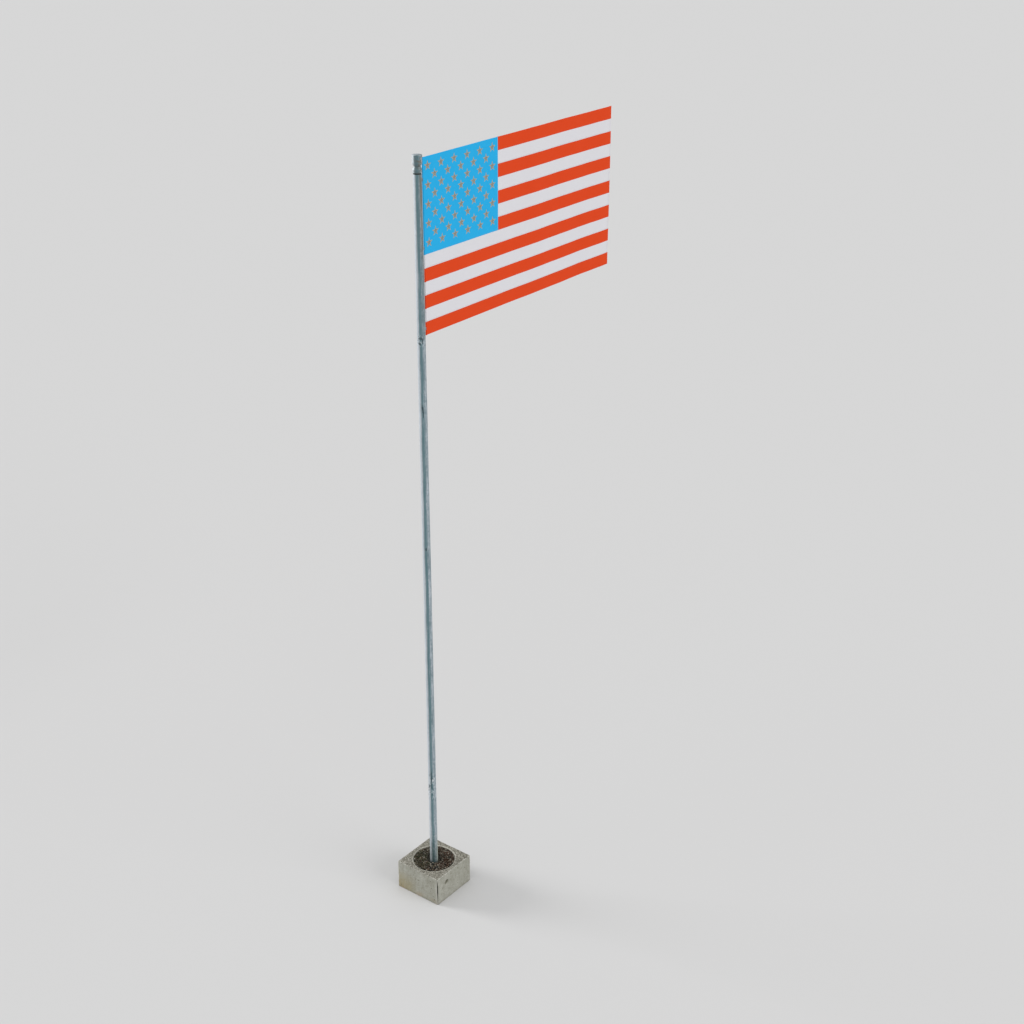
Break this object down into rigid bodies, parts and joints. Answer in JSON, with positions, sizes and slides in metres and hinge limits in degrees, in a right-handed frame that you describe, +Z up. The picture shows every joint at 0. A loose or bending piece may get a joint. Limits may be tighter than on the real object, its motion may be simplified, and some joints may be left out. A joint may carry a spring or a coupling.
{
  "type": "flagpole",
  "caption": "Free-standing flagpole: galvanised tapered tube in an earth-filled concrete block, turned truck on top, striped flag with a starred canton held straight out.",
  "frame": {"origin": "on the ground, under the pole's axis: the centre of the concrete block's underside", "axes": "+Z up along the pole, +Y along the flag's fly, X across the flag"},
  "size_m": [0.406, 2.44, 5.812],
  "materials": {
    "concrete": "cast, matt, stained and pitted",
    "earth": "loose dark crumbs",
    "galvanised_pole": "weathered hot-dip galvanised",
    "galvanised_fittings": "weathered galvanised, turned",
    "canton_cloth": "woven nylon",
    "star_cloth": "embroidered thread",
    "red_cloth": "woven nylon",
    "white_cloth": "woven nylon"
  },
  "bodies": {
    "root": {"concrete_block": "concrete", "earth_fill": "earth", "pole_tube": "galvanised_pole", "truck_spindle": "galvanised_fittings", "truck_spool": "galvanised_fittings", "hoist_rod": "galvanised_fittings", "hoist_lug_top": "galvanised_fittings", "hoist_lug_middle": "galvanised_fittings", "hoist_lug_bottom": "galvanised_fittings", "hoist_hem": "canton_cloth", "canton": "canton_cloth", "stars_front": "star_cloth", "stars_back": "star_cloth", "stripe_01": "red_cloth", "stripe_02": "white_cloth", "stripe_03": "red_cloth", "stripe_04": "white_cloth", "stripe_05": "red_cloth", "stripe_06": "white_cloth", "stripe_07": "red_cloth", "stripe_08": "white_cloth", "stripe_09": "red_cloth", "stripe_10": "white_cloth", "stripe_11": "red_cloth", "stripe_12": "white_cloth", "stripe_13": "red_cloth"}
  },
  "joints": []
}
